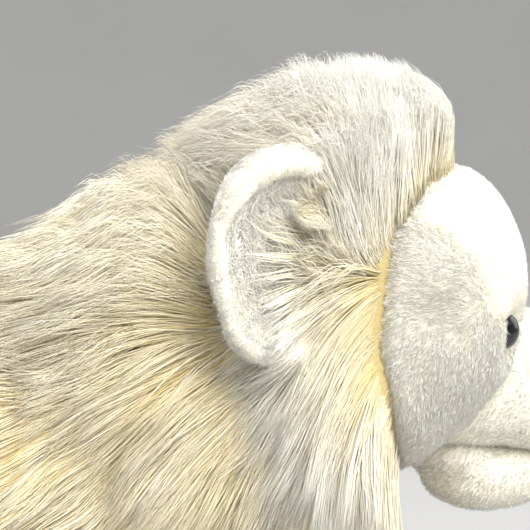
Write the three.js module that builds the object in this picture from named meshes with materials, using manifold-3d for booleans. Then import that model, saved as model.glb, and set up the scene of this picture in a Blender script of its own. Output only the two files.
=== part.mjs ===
// Long-coated plush dog, standing on four legs. Millimetres, +Z up, the dog faces -Y, its right side is -X.
// The origin is on the floor, under the middle of the toy's box.
// Skins are sewn fabric shells, open where they are sewn to a neighbour, around stuffing of the same shape.
// The outer surfaces are those of the coat lightly pressed down.
import * as THREE from 'three';
import { mergeVertices } from 'three/addons/utils/BufferGeometryUtils.js';
import Module from 'manifold-3d';

const wasm = await Module();
wasm.setup();

// ---- driving dimensions -------------------------------------------------
const GAP = 0.5;               // clearance between touching pieces
const FABRIC = 4.0;            // long-pile fabric with the root of its pile
const FACE_FABRIC = 3.2;       // short-pile fabric
const Y_SHIFT = 0;             // moves the whole toy so that its box is centred

const NECK = [0, -50, 198];    // the point about which head and neck turn
const NECK_R = 52;             // stuffed neck roll
const SOCKET = 2.0;            // room round the neck roll

const SKULL = { c: [0, -121, 222], r: [50, 50, 48] };
const CHEEKS = { c: [0, -119, 196], r: [49, 41, 36] };
const HEAD_REAR_Y = -80;       // the head ends here, in front of the neck's bare belt
const FACE_SEAM_SIDE_Y = -103.5; // long pile meets short pile on the side of the head
const FACE_SEAM_TOP_Y = -146;  // and on top of it

const EYE = [27.5, -155.5, 211];
const EYE_AZ = 36;             // the eye looks this far forward of sideways, degrees
const EYE_R = 6.0;             // 12 mm safety eye
const SHANK_R = 2.2, SHANK_L = 15;
const WASHER_R = 8.5, WASHER_T = 1.6, WASHER_AT = 9.5;

const NOSE = [0, -194.5, 204];
const CREST = { c: [0, -108, 240], r: [33, 35, 44] }; // the upright coat of the crown, pressed together
const LEG_BALL_R = 24.5, LEG_SOCKET_R = 26.2, LEG_Z = 93;
const FRONT_LEG = [37, -60], HIND_LEG = [38, 116];
const SOLE_T = 2.4;
const TAIL_ROOT = [0, 158, 200], TAIL_BALL_R = 15;

// ---- materials ----------------------------------------------------------
const mat = (color, roughness) => new THREE.MeshStandardMaterial({ color, roughness, metalness: 0 });
const longPile = () => mat(0xf1e9cf, 0.9);
const shortPile = () => mat(0xefe6cc, 0.85);
const fibre = () => mat(0xfafafa, 0.95);
const blackPlastic = () => mat(0x0a0a0c, 0.08);
const whitePlastic = () => mat(0xe8e8e4, 0.5);
const ribbon = () => mat(0xf4f4f2, 0.6);

// ---- helpers ------------------------------------------------------------
function toSolid(geometry) {
  let g = geometry.clone();
  g.deleteAttribute('normal');
  g.deleteAttribute('uv');
  g = mergeVertices(g, 1e-4);
  const p = g.attributes.position, n = g.index.count;
  const tri = [];
  for (let i = 0; i < n; i += 3) {
    const a = g.index.getX(i), b = g.index.getX(i + 1), c = g.index.getX(i + 2);
    if (a !== b && b !== c && c !== a) tri.push(a, b, c);
  }
  return new wasm.Manifold(new wasm.Mesh({
    numProp: 3, vertProperties: new Float32Array(p.array), triVerts: new Uint32Array(tri),
  }));
}
function toGeometry(solid) {
  const m = solid.getMesh();
  const g = new THREE.BufferGeometry();
  g.setAttribute('position', new THREE.BufferAttribute(new Float32Array(m.vertProperties), 3));
  g.setIndex(new THREE.BufferAttribute(new Uint32Array(m.triVerts), 1));
  g.computeVertexNormals();
  return g;
}
const mirrorX = (solid) => {
  const m = solid.getMesh();
  const v = new Float32Array(m.vertProperties);
  for (let i = 0; i < v.length; i += 3) v[i] = -v[i];
  const t = new Uint32Array(m.triVerts);
  for (let i = 0; i < t.length; i += 3) { const k = t[i + 1]; t[i + 1] = t[i + 2]; t[i + 2] = k; }
  return new wasm.Manifold(new wasm.Mesh({ numProp: 3, vertProperties: v, triVerts: t }));
};

function ellipsoid(c, r, w = 18, h = 12) {
  const g = new THREE.SphereGeometry(1, w, h);
  g.scale(r[0], r[1], r[2]);
  g.translate(c[0], c[1], c[2]);
  return toSolid(g);
}
const ball = (c, r, w = 18, h = 12) => ellipsoid(c, [r, r, r], w, h);

function box(lo, hi) {
  const g = new THREE.BoxGeometry(hi[0] - lo[0], hi[1] - lo[1], hi[2] - lo[2]);
  g.translate((lo[0] + hi[0]) / 2, (lo[1] + hi[1]) / 2, (lo[2] + hi[2]) / 2);
  return toSolid(g);
}

// A closed body lofted through rings of equal length, with flat fans at both ends.
function loft(rings) {
  const n = rings[0].length, pos = [], idx = [];
  rings.forEach((r) => r.forEach((p) => pos.push(p[0], p[1], p[2])));
  for (let k = 0; k + 1 < rings.length; k++) {
    for (let i = 0; i < n; i++) {
      const a = k * n + i, b = k * n + (i + 1) % n, c = a + n, d = b + n;
      idx.push(a, b, d, a, d, c);
    }
  }
  const cap = (r, base, flip) => {
    const m = [0, 0, 0];
    r.forEach((p) => { m[0] += p[0] / n; m[1] += p[1] / n; m[2] += p[2] / n; });
    const at = pos.length / 3;
    pos.push(m[0], m[1], m[2]);
    for (let i = 0; i < n; i++) {
      const a = base + i, b = base + (i + 1) % n;
      if (flip) idx.push(at, b, a); else idx.push(at, a, b);
    }
  };
  cap(rings[0], 0, true);
  cap(rings[rings.length - 1], (rings.length - 1) * n, false);
  const g = new THREE.BufferGeometry();
  g.setAttribute('position', new THREE.BufferAttribute(new Float32Array(pos), 3));
  g.setIndex(idx);
  let s = toSolid(g);
  if (s.volume() < 0) {
    const flipped = [];
    for (let i = 0; i < idx.length; i += 3) flipped.push(idx[i], idx[i + 2], idx[i + 1]);
    g.setIndex(flipped);
    s = toSolid(g);
  }
  return s;
}
// Superellipse ring across Y: half sizes rx, rz about (cx, y, cz).
function ringY(y, rx, rz, cz, e = 2.3, n = 16, cx = 0) {
  const out = [];
  for (let i = 0; i < n; i++) {
    const a = 2 * Math.PI * i / n, c = Math.cos(a), s = Math.sin(a);
    out.push([cx + rx * Math.sign(c) * Math.abs(c) ** (2 / e), y, cz + rz * Math.sign(s) * Math.abs(s) ** (2 / e)]);
  }
  return out;
}
// Ellipse ring across Z.
function ringZ(z, rx, ry, cx, cy, n = 12) {
  const out = [];
  for (let i = 0; i < n; i++) {
    const a = 2 * Math.PI * i / n;
    out.push([cx + rx * Math.cos(a), cy + ry * Math.sin(a), z]);
  }
  return out;
}
// A prism from a polygon in the (Y, Z) plane, running along X.
function prismX(poly, x0, x1) {
  const s = new THREE.Shape(poly.map(([y, z]) => new THREE.Vector2(y, z)));
  const g = new THREE.ExtrudeGeometry(s, { depth: x1 - x0, bevelEnabled: false });
  // shape (x, y, depth) becomes (Y, Z, X)
  g.applyMatrix4(new THREE.Matrix4().set(0, 0, 1, x0, 1, 0, 0, 0, 0, 1, 0, 0, 0, 0, 0, 1));
  return toSolid(g);
}
function placed(geometry, matrix) {
  const g = geometry.clone();
  g.applyMatrix4(matrix);
  return toSolid(g);
}

const group = new THREE.Group();
group.name = 'plush_dog';
function add(name, solid, material) {
  const m = new THREE.Mesh(toGeometry(solid), material);
  m.name = name;
  m.position.y = Y_SHIFT;
  group.add(m);
  return m;
}
function addBoth(name, rightSolid, material) {
  add(name + '_right', rightSolid, material());
  add(name + '_left', mirrorX(rightSolid), material());
}

// ---- trunk --------------------------------------------------------------
// [y, half width, half height, centre z]
const TRUNK = [
  [-111, 24, 24, 126], [-98, 42, 41, 130], [-76, 50, 56, 144], [-50, 55, 66, 159],
  [-5, 62, 68, 163], [55, 62, 65, 160], [110, 59, 60, 158],
  [146, 48, 50, 161], [166, 30, 32, 167], [172, 16, 18, 169],
];
const trunkRings = (d) => TRUNK.map(([y, rx, rz, cz], i) => {
  const end = i === 0 ? d : i === TRUNK.length - 1 ? -d : 0;
  return ringY(y + end, Math.max(rx - d, 6), Math.max(rz - d, 6), cz);
});
const neckSocket = ball(NECK, NECK_R + SOCKET, 20, 13);
// the head's and neck's room to turn in, in front of the trunk
const rad = Math.PI / 180;
const below = 60 * rad;
const frontRoom = prismX([
  [NECK[1], NECK[2]], [NECK[1], NECK[2] + 300], [-400, NECK[2] + 300], [-400, NECK[2] - 300],
  [NECK[1] - 346 * Math.cos(below), NECK[2] - 346 * Math.sin(below)],
], -200, 200);
const legSockets = [FRONT_LEG, HIND_LEG].flatMap(([x, y]) => [ball([x, y, LEG_Z], LEG_SOCKET_R, 14, 9), ball([-x, y, LEG_Z], LEG_SOCKET_R, 14, 9)]);
const tailSocket = ball(TAIL_ROOT, TAIL_BALL_R + 3, 12, 8);
let trunkCuts = wasm.Manifold.union([neckSocket, frontRoom, tailSocket, ...legSockets]);

const trunkOuter = loft(trunkRings(0));
const trunkInner = loft(trunkRings(FABRIC)).subtract(frontRoom.translate([0, FABRIC, 0]));
const trunkCore = loft(trunkRings(FABRIC + GAP)).subtract(frontRoom.translate([0, FABRIC + GAP, 0]));
const closingSeam = box([-1, -20, 60], [1, 40, 110]); // hand-closed seam under the belly
add('body_skin', trunkOuter.subtract(trunkInner).subtract(trunkCuts).subtract(closingSeam), longPile());
add('body_stuffing', trunkCore.subtract(trunkCuts), fibre());
add('care_label', box([40, 118.7, 128], [64, 119.3, 142]).subtract(loft(trunkRings(-GAP))), ribbon());

// ---- neck ---------------------------------------------------------------
// The roll is closed by a drawn-up opening at its underside.
const neckOpening = box([-3, -60, 120], [3, -40, 170]);
add('neck_skin', ball(NECK, NECK_R, 20, 13).subtract(ball(NECK, NECK_R - FABRIC, 20, 13)).subtract(neckOpening), longPile());
add('neck_stuffing', ball(NECK, NECK_R - FABRIC - GAP, 20, 13), fibre());

// ---- head ---------------------------------------------------------------
const grown = (e, d) => ellipsoid(e.c, e.r.map((v) => v - d), 16, 11);
const headOuter = grown(SKULL, 0).add(grown(CHEEKS, 0));
const headInner = grown(SKULL, FACE_FABRIC).add(grown(CHEEKS, FACE_FABRIC));
const headCoreFull = grown(SKULL, FACE_FABRIC + GAP).add(grown(CHEEKS, FACE_FABRIC + GAP));
const headRear = box([-80, HEAD_REAR_Y, 100], [80, 60, 320]);
const headCuts = neckSocket.add(headRear);

// muzzle, lofted from the face to the nose: [y, half width, half height, centre z]
const MUZZLE = [[-138, 30, 20, 192], [-152, 31, 21, 192], [-168, 30, 20.5, 192], [-182, 27, 19, 193], [-191, 22, 16, 194], [-196, 14, 11, 196]];
const muzzleRings = (d) => MUZZLE.map(([y, rx, rz, cz], i) => ringY(y + (i === MUZZLE.length - 1 ? d : 0), rx - d, rz - d, cz, 2.5, 14));
const muzzleOuter = loft(muzzleRings(0));
const muzzleInner = loft([ringY(-120, 26.8, 16.8, 192, 2.5, 14), ...muzzleRings(FACE_FABRIC)]);
const muzzleCore = loft(muzzleRings(FACE_FABRIC + GAP));

// lower jaw under the mouth line
const JAW = [[-124, 14, 7, 159], [-134, 19.5, 9.5, 158], [-148, 22, 10.8, 157.2], [-164, 21.5, 10.8, 157.2], [-178, 18.5, 9.4, 158.2], [-187, 11, 6, 160]];
const jawSolid = loft(JAW.map(([y, rx, rz, cz]) => ringY(y, rx, rz, cz, 2.5, 12)));
const jawRoom = loft(JAW.map(([y, rx, rz, cz], i) => ringY(y + (i === 0 ? 1 : i === JAW.length - 1 ? -1 : 0), rx + GAP, rz + GAP, cz, 2.5, 12)));
const muzzleRoom = loft(MUZZLE.map(([y, rx, rz, cz], i) => ringY(y + (i === 0 ? 12 : 0), rx + GAP, rz + GAP, cz, 2.5, 14)));

// safety eye: a dome, a flat back and a ribbed shank, turned about its own axis
const lathe = (pts, seg = 12) => new THREE.LatheGeometry(pts.map(([r, h]) => new THREE.Vector2(r, h)), seg);
function eyeProfile(g) {
  const out = [[0, -SHANK_L - g], [SHANK_R + g, -SHANK_L - g], [SHANK_R + g, -1.2 - g], [EYE_R + g, -1.2 - g]];
  for (let i = 0; i <= 4; i++) {
    const a = i * Math.PI / 8;
    out.push([i === 4 ? 0 : (EYE_R + g) * Math.cos(a), (4.6 + g) * Math.sin(a)]);
  }
  return out;
}
// the lathe's axis is +Y; this turns it to point out of the head on the right
const eyeDir = new THREE.Vector3(-Math.cos(EYE_AZ * rad), -Math.sin(EYE_AZ * rad), 0.05).normalize();
const eyeMatrix = new THREE.Matrix4().compose(
  new THREE.Vector3(-EYE[0], EYE[1], EYE[2]),
  new THREE.Quaternion().setFromUnitVectors(new THREE.Vector3(0, 1, 0), eyeDir), new THREE.Vector3(1, 1, 1));
const eyeSolid = placed(lathe(eyeProfile(0)), eyeMatrix);
const eyeRoom = placed(lathe(eyeProfile(0.4)), eyeMatrix);
const washer = (g, r = WASHER_R) => {
  const pts = [[SHANK_R + 0.35 - g, -WASHER_AT - WASHER_T - g], [r + g, -WASHER_AT - WASHER_T - g], [r + g, -WASHER_AT + g], [SHANK_R + 0.35 - g, -WASHER_AT + g]];
  return lathe([...pts, pts[0]]);
};
const plug = (g, r = WASHER_R) => lathe([[0, -WASHER_AT - WASHER_T - g], [r + g, -WASHER_AT - WASHER_T - g], [r + g, -WASHER_AT + g], [0, -WASHER_AT + g]]);
const eyeWasher = placed(washer(0), eyeMatrix);
const eyeWasherRoom = placed(plug(0.4), eyeMatrix);
const bothSides = (s) => s.add(mirrorX(s));
const eyeRooms = bothSides(eyeRoom.add(eyeWasherRoom));

// face seam: a slanting plane on each side, from the top of the forehead down and back to the jaw
const FACE_SEAM = [[FACE_SEAM_TOP_Y, 264.5], [-122, 257.5], [-110, 248.5], [-104, 232], [FACE_SEAM_SIDE_Y, 209], [-108.6, 186], [-117, 168], [-121, 150]];
const faceRegion = prismX([...FACE_SEAM, [-121, 100], [-400, 100], [-400, 320], [FACE_SEAM_TOP_Y, 320]], -90, 90);
const faceRegionTight = prismX([...FACE_SEAM.map(([y, z]) => [y - GAP, z]), [-121 - GAP, 100], [-400, 100], [-400, 320], [FACE_SEAM_TOP_Y - GAP, 320]], -90, 90);
// the forehead panel lies between two planes that lean inwards towards the stop
const FH = 22; // half width of the forehead panel at the top
const foreheadRegion = (g) => {
  const w0 = FH - g, w1 = 15 - g, s = new THREE.Shape([[-w0 - 10, 330], [-w0, 262], [-w1, 214 + g], [w1, 214 + g], [w0, 262], [w0 + 10, 330]].map(([x, z]) => new THREE.Vector2(x, z)));
  const geo = new THREE.ExtrudeGeometry(s, { depth: 200, bevelEnabled: false });
  geo.applyMatrix4(new THREE.Matrix4().set(1, 0, 0, 0, 0, 0, -1, -50, 0, 1, 0, 0, 0, 0, 0, 1));
  return toSolid(geo);
};
const shell = headOuter.subtract(headInner).subtract(headCuts);
const crest = ellipsoid(CREST.c, CREST.r, 16, 11);
const fabricHoles = wasm.Manifold.union([muzzleRoom, jawRoom, eyeRooms]);
const backSkin = shell.add(crest.subtract(headInner).subtract(headCuts)).subtract(faceRegion).subtract(fabricHoles);
const faceShell = shell.intersect(faceRegionTight).subtract(fabricHoles);
const forehead = faceShell.intersect(foreheadRegion(0));
const cheeks = faceShell.subtract(foreheadRegion(-GAP));
const rightHalf = box([-90, -260, 100], [-GAP / 2, 60, 320]);
const leftHalf = box([GAP / 2, -260, 100], [90, 60, 320]);

const noseProfile = (g) => {
  const out = [[0, -14 - g], [2.4 + g, -14 - g], [2.4 + g, -1 - g], [11 + g, -1 - g]];
  for (let i = 0; i <= 4; i++) {
    const a = i * Math.PI / 8;
    out.push([i === 4 ? 0 : (12.5 + g) * Math.cos(a), (5.5 + g) * Math.sin(a)]);
  }
  return out;
};
const noseMatrix = new THREE.Matrix4().makeTranslation(...NOSE)
  .multiply(new THREE.Matrix4().makeRotationX(Math.PI))
  .multiply(new THREE.Matrix4().makeScale(1, 1, 0.72));
const noseSolid = placed(lathe(noseProfile(0), 14), noseMatrix);
const noseRoom = placed(lathe(noseProfile(0.4), 14), noseMatrix);
const noseWasherShift = new THREE.Matrix4().makeTranslation(...NOSE).multiply(new THREE.Matrix4().makeRotationX(Math.PI));
const noseWasher = placed(washer(0, 8), noseWasherShift);
const noseWasherRoom = placed(plug(0.4, 8), noseWasherShift);
const noseRooms = noseRoom.add(noseWasherRoom);

const muzzleSkin = muzzleOuter.subtract(muzzleInner).subtract(headCoreFull.add(headOuter)).subtract(noseRooms).subtract(jawRoom).subtract(eyeRooms);
const muzzleFill = muzzleCore.subtract(headOuter).subtract(noseRooms).subtract(jawRoom).subtract(eyeRooms);
const jawBody = jawSolid.subtract(headOuter);
const headCore = headCoreFull.subtract(headCuts).subtract(eyeRooms).subtract(noseRooms);

add('back_of_head_skin', backSkin, longPile());
add('forehead_panel', forehead, shortPile());
const cheekRight = cheeks.intersect(rightHalf), cheekLeft = cheeks.intersect(leftHalf);
add('cheek_panel_right', cheekRight, shortPile());
add('cheek_panel_left', cheekLeft, shortPile());
add('muzzle_skin', muzzleSkin, shortPile());
add('muzzle_stuffing', muzzleFill, fibre());
add('lower_jaw', jawBody, shortPile());
add('head_stuffing', headCore, fibre());
addBoth('eye', eyeSolid, blackPlastic);
addBoth('eye_washer', eyeWasher, whitePlastic);
add('nose', noseSolid, blackPlastic());
add('nose_washer', noseWasher, whitePlastic());

// ---- ears ---------------------------------------------------------------
// A cupped leaf. u runs from the root (0) to the free edge (1), t runs up the leaf (-1 to 1).
const EAR_ROOT = [-35, -93, 241];
function earLeaf(offset, thick, trim) {
  // local frame: a = away from the root along the leaf, b = up, n = out of the cup
  const a = new THREE.Vector3(-0.50, 0.86, -0.08).normalize();
  const b0 = new THREE.Vector3(0.26, 0.02, 0.96).normalize();
  const n = new THREE.Vector3().crossVectors(a, b0).normalize(); // points outwards on the right side
  if (n.x > 0) n.negate();
  const b = new THREE.Vector3().crossVectors(n, a).normalize();
  if (b.z < 0) b.negate();
  const rings = [];
  const M = 14, K = 3;
  const top = [], bot = [];
  for (let k = 1; k <= K; k++) {
    const f = k / K;
    const rt = [], rb = [];
    for (let i = 0; i < M; i++) {
      const th = 2 * Math.PI * i / M;
      // outline, round with a flattened root side
      const ra = (27 - trim) * Math.cos(th), rbv = (32 - trim) * Math.sin(th);
      const flat = Math.cos(th) < 0 ? 0.78 : 1;
      const la = 25 + ra * flat * f, lb = rbv * f;
      const dish = 9 * f * f - 7;
      const p = (h) => [
        EAR_ROOT[0] + a.x * la + b.x * lb + n.x * h, EAR_ROOT[1] + a.y * la + b.y * lb + n.y * h,
        EAR_ROOT[2] + a.z * la + b.z * lb + n.z * h];
      rt.push(p(dish + offset + thick)); rb.push(p(dish + offset));
    }
    top.push(rt); bot.push(rb);
  }
  // from the middle of the back, out over the rim and back to the middle of the front
  for (let k = 0; k < K; k++) rings.push(bot[k]);
  for (let k = K - 1; k >= 0; k--) rings.push(top[k]);
  return loft(rings);
}
const EAR_CLEAR = 2.5; // room for the ear to flop at its root
const earRoom = wasm.Manifold.union([grown(SKULL, -EAR_CLEAR), grown(CHEEKS, -EAR_CLEAR),
  ellipsoid(CREST.c, CREST.r.map((v) => v + EAR_CLEAR), 16, 11)]);
const earBack = earLeaf(-2.4, 2.0, 0).subtract(earRoom), earLining = earLeaf(0, 1.8, 2.5).subtract(earRoom);
addBoth('ear_back', earBack, longPile);
addBoth('ear_lining', earLining, shortPile);

// ---- legs ---------------------------------------------------------------
// [z, rx, ry, dx, dy] from the sole up; the top is a ball about the hip or shoulder
const FRONT = [[SOLE_T + GAP, 24.5, 33, 0, -9], [9, 26, 35, 0, -9.5], [18, 25.5, 33, 0, -8], [29, 22.5, 26, 0, -3], [42, 20.5, 21.5, 0, 0], [68, 22, 22.5, 0, 0]];
const HIND = [[SOLE_T + GAP, 24.5, 34, 0, -8], [9, 26, 36, 0, -8.5], [18, 25.5, 33, 0, -5], [29, 22, 25, 0, 4], [44, 20, 21.5, 0, 7], [68, 22.5, 23, 0, 3]];
function legRings(profile, at, d, open) {
  const rings = profile.map(([z, rx, ry, dx, dy], i) => ringZ(z + (i === 0 ? d : 0), rx - d, ry - d, -at[0] + dx, at[1] + dy));
  const r = LEG_BALL_R - d;
  for (const s of [-8, 0, 9, 17, 22.5]) {
    if (s >= r) break;
    rings.push(ringZ(LEG_Z + s, Math.sqrt(r * r - s * s) * (s < 0 ? 0.985 : 1), Math.sqrt(r * r - s * s) * (s < 0 ? 0.985 : 1), -at[0], at[1]));
  }
  if (open) rings.push(ringZ(LEG_Z + 40, 9, 9, -at[0], at[1]));
  return loft(rings);
}
function leg(name, profile, at) {
  const skin = legRings(profile, at, 0, false).subtract(legRings(profile, at, FABRIC, true));
  addBoth(name + '_skin', skin, longPile);
  addBoth(name + '_stuffing', legRings(profile, at, FABRIC + GAP, false), fibre);
  const [, rx, ry, dx, dy] = profile[0];
  addBoth(name + '_paw_sole', loft([ringZ(0, rx - 3, ry - 3, -at[0] + dx, at[1] + dy), ringZ(SOLE_T, rx - 0.5, ry - 0.5, -at[0] + dx, at[1] + dy)]), shortPile);
}
leg('front_leg', FRONT, FRONT_LEG);
leg('hind_leg', HIND, HIND_LEG);

// ---- tail ---------------------------------------------------------------
// A plume that rises from the rump and leans forward at its tip: [y, z, radius]
const TAIL = [[159, 200, 10.5], [168, 206, 12], [176, 216, 14.5], [181, 231, 17.5], [179, 247, 18.5], [170, 259, 16], [158, 266, 10.5], [150, 268, 5]];
function tailRings(d) {
  return TAIL.map(([y, z, r], i) => {
    const p = TAIL[Math.max(i - 1, 0)], q = TAIL[Math.min(i + 1, TAIL.length - 1)];
    const dy = q[0] - p[0], dz = q[1] - p[1], l = Math.hypot(dy, dz);
    const ny = -dz / l, nz = dy / l, rr = Math.max(r - d, 1.5);
    const out = [];
    for (let k = 0; k < 12; k++) {
      const a = 2 * Math.PI * k / 12;
      out.push([1.05 * rr * Math.cos(a), y + ny * rr * Math.sin(a), z + nz * rr * Math.sin(a)]);
    }
    return out;
  });
}
const tailBall = ball(TAIL_ROOT, TAIL_BALL_R, 12, 8);
const tailOuter = loft(tailRings(0)).add(tailBall);
const tailInner = loft(tailRings(3.2)).add(ball(TAIL_ROOT, TAIL_BALL_R - 3.2, 12, 8));
const tailOpening = box([-3, 130, 195], [3, 150, 205]);
add('tail_skin', tailOuter.subtract(tailInner).subtract(tailOpening), longPile());
const tailCore = loft(tailRings(3.2 + GAP)).add(ball(TAIL_ROOT, TAIL_BALL_R - 3.2 - GAP, 12, 8));
add('tail_stuffing', tailCore, fibre());

export default group;
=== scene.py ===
"""Looks of the plush dog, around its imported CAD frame. Lengths below are in millimetres until a mesh is made."""
import math

import bpy
import numpy as np
from mathutils import Matrix, Vector
from mathutils.kdtree import KDTree


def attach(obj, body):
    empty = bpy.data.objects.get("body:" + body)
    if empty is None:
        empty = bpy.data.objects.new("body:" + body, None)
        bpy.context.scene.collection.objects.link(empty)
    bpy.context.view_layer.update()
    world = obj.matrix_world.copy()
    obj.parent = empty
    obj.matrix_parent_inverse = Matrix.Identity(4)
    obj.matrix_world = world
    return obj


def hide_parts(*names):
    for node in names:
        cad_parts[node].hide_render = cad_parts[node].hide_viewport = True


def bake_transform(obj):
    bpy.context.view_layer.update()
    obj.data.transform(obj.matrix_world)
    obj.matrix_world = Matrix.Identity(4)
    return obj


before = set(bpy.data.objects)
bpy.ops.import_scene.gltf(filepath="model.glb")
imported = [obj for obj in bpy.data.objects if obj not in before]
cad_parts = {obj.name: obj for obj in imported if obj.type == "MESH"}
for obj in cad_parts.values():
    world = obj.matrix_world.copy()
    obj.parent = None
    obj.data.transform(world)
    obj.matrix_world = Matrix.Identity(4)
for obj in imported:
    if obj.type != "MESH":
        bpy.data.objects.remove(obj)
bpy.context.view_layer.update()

MM = 0.001
scene = bpy.context.scene


# ------------------------------------------------------------------ small maths
def arr(*v):
    return np.array(v, float)


def unit(v):
    return v / np.maximum(np.linalg.norm(v, axis=-1, keepdims=True), 1e-9)


def smooth(a, b, x):
    t = np.clip((x - a) / (b - a), 0, 1)
    return t * t * (3 - 2 * t)


def smin(a, b, k):
    h = np.clip(0.5 + 0.5 * (b - a) / k, 0, 1)
    return b * (1 - h) + a * h - k * h * (1 - h)


def smax(a, b, k):
    return -smin(-a, -b, k)


def ell(p, c, r, e=2.0):
    q = np.abs((p - arr(*c)) / arr(*r))
    if e == 2.0:
        k0 = np.linalg.norm(q, axis=-1)
        k1 = np.linalg.norm(q / arr(*r), axis=-1)
        return k0 * (k0 - 1) / np.maximum(k1, 1e-9)
    return ((q**e).sum(-1) ** (1 / e) - 1) * min(r)


def capsule(p, a, b, ra, rb):
    a, b = arr(*a), arr(*b)
    d = b - a
    t = np.clip(((p - a) @ d) / (d @ d), 0, 1)
    return np.linalg.norm(p - a - t[:, None] * d, axis=1) - (ra + (rb - ra) * t)


def mirrored(p):
    """The point on the dog's right side that matches p, so that shapes are stated once."""
    q = p.copy()
    q[:, 0] = -np.abs(q[:, 0])
    return q


class Noise:
    """Smooth, repeatable noise: a sum of a few waves in random directions."""

    def __init__(self, seed, size, n=10):
        r = np.random.default_rng(seed)
        self.k = unit(r.normal(size=(n, 3))) * (2 * math.pi / size) * r.uniform(0.6, 1.6, (n, 1))
        self.o = r.uniform(0, 2 * math.pi, n)

    def __call__(self, p):
        return np.sin(p @ self.k.T + self.o).sum(1) / math.sqrt(len(self.o)) * 1.4


n_coarse, n_mid, n_fine, n_lock = Noise(1, 46), Noise(2, 19), Noise(3, 7), Noise(4, 30)

# ------------------------------------------------------------------ the dog's main sizes (see the CAD)
NECK = arr(0, -50, 198)
EYE = arr(-31.1, -155.4, 209.7)
EYE_DIR = unit(arr(-math.cos(math.radians(36)), -math.sin(math.radians(36)), 0.05))
NOSE = arr(0, -191.5, 203.5)
FRONT_LEG, HIND_LEG = (37, -60), (38, 116)
TAIL = [(158, 198, 11), (168, 206, 10), (176, 216, 12), (180, 231, 14), (178, 246, 14.5), (169, 257, 12), (158, 263, 8), (151, 265, 4)]


# ------------------------------------------------------------------ surfaces, as signed distances
def head_f(p):
    q = mirrored(p)
    f = ell(q, (0, -121, 222), (48, 51, 48.5), 2.3)
    f = smin(f, ell(q, (-13, -111.5, 194.5), (35.5, 35.5, 31.5)), 12)
    # fuller cheek beside the muzzle's root, brow above the eye
    f = smin(f, ell(q, (-24, -130, 205.5), (20.5, 21.5, 17.5)), 10)
    f = smin(f, ell(q, (-15, -146, 225), (17, 16, 14)), 14)
    d2 = ((q - EYE) ** 2).sum(1)
    f = f + 4.6 * np.exp(-d2 / (2 * 6.5**2))
    # the fold behind the eye
    fold = capsule(q, (-30, -151, 212), (-37.5, -143, 212.5), 0, 0)
    f = f + 1.5 * np.exp(-((fold / 2.6) ** 2))
    # the tucked pad below and behind it
    tuck = capsule(q, (-32.5, -151.5, 207.5), (-31, -153, 199.5), 0, 0)
    return f + 1.9 * np.exp(-((tuck / 1.9) ** 2))


def muzzle_f(p):
    q = mirrored(p)
    f = ell(q, (0, -161, 189.5), (27, 34, 24), 2.5)
    f = smin(f, ell(q, (-11, -180, 182.5), (15.5, 15.5, 17.5)), 8)
    f = smin(f, ell(q, (0, -183, 200), (13, 11, 10)), 6)
    # the groove below the nose
    g = np.exp(-((q[:, 0] / 1.5) ** 2)) * smooth(-184, -190, q[:, 1]) * smooth(199, 194, q[:, 2])
    return f + 2.2 * g


def jaw_f(p):
    q = mirrored(p)
    f = ell(q, (0, -165.5, 155.4), (20, 22, 12.6), 2.3)
    # its root, tucked under the cheeks
    return smin(f, ell(q, (0, -150, 164), (17, 13, 8.5)), 5)


def neck_f(p):
    f = ell(p, (0, -50, 193), (47, 47, 46))
    return smin(f, ell(p, (0, -84, 190), (41, 26, 38)), 14)


T_Y = [-113, -104, -92, -74, -50, -20, 20, 60, 100, 130, 150, 163, 169]
T_RX = [12, 27, 36, 44, 49, 53, 55, 54, 53, 49, 40, 27, 10]
T_RZ = [14, 28, 37, 47, 55, 60, 58, 56, 54, 51, 43, 29, 11]
T_CZ = [124, 127, 130, 139, 152, 162, 160, 158, 156, 157, 161, 166, 168]


def trunk_f(p):
    y = np.clip(p[:, 1], T_Y[0], T_Y[-1])
    rx, rz, cz = (np.interp(y, T_Y, t) for t in (T_RX, T_RZ, T_CZ))
    q = np.sqrt((p[:, 0] / rx) ** 2 + ((p[:, 2] - cz) / rz) ** 2)
    return (q - 1) * np.minimum(rx, rz) + np.abs(p[:, 1] - y)


def leg_f(at, hind):
    x, y = -at[0], at[1]

    def f(p):
        if hind:
            g = capsule(p, (x, y, 92), (x, y + 5, 46), 20.5, 17.5)
            g = smin(g, capsule(p, (x, y + 6, 46), (x, y + 2, 22), 17, 17), 10)
        else:
            g = capsule(p, (x, y, 92), (x, y, 26), 20.5, 18)
        g = smin(g, ell(p, (x, y - 8.5, 12), (24.8, 33.5, 16.0), 2.5), 16)
        for dx in (-16.5, -5.7, 5.7, 16.5):
            toe = ell(p, (x + dx, y - 8.5 - 26.5 + 0.028 * dx * dx, 12.5), (6.8, 11.5, 11.0))
            g = smin(g, toe, 3.0)
        return smax(g, 2.6 - p[:, 2], 4)

    return f


def gradient(f, p, h=0.15):
    g = np.empty_like(p)
    for i in range(3):
        d = np.zeros(3)
        d[i] = h
        g[:, i] = (f(p + d) - f(p - d)) / (2 * h)
    return g


def settle(f, p, steps=7):
    """Moves points onto the surface f = 0."""
    for _ in range(steps):
        v, g = f(p), gradient(f, p)
        p = p - (v / np.maximum((g**2).sum(1), 0.05))[:, None] * g
    return p


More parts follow.
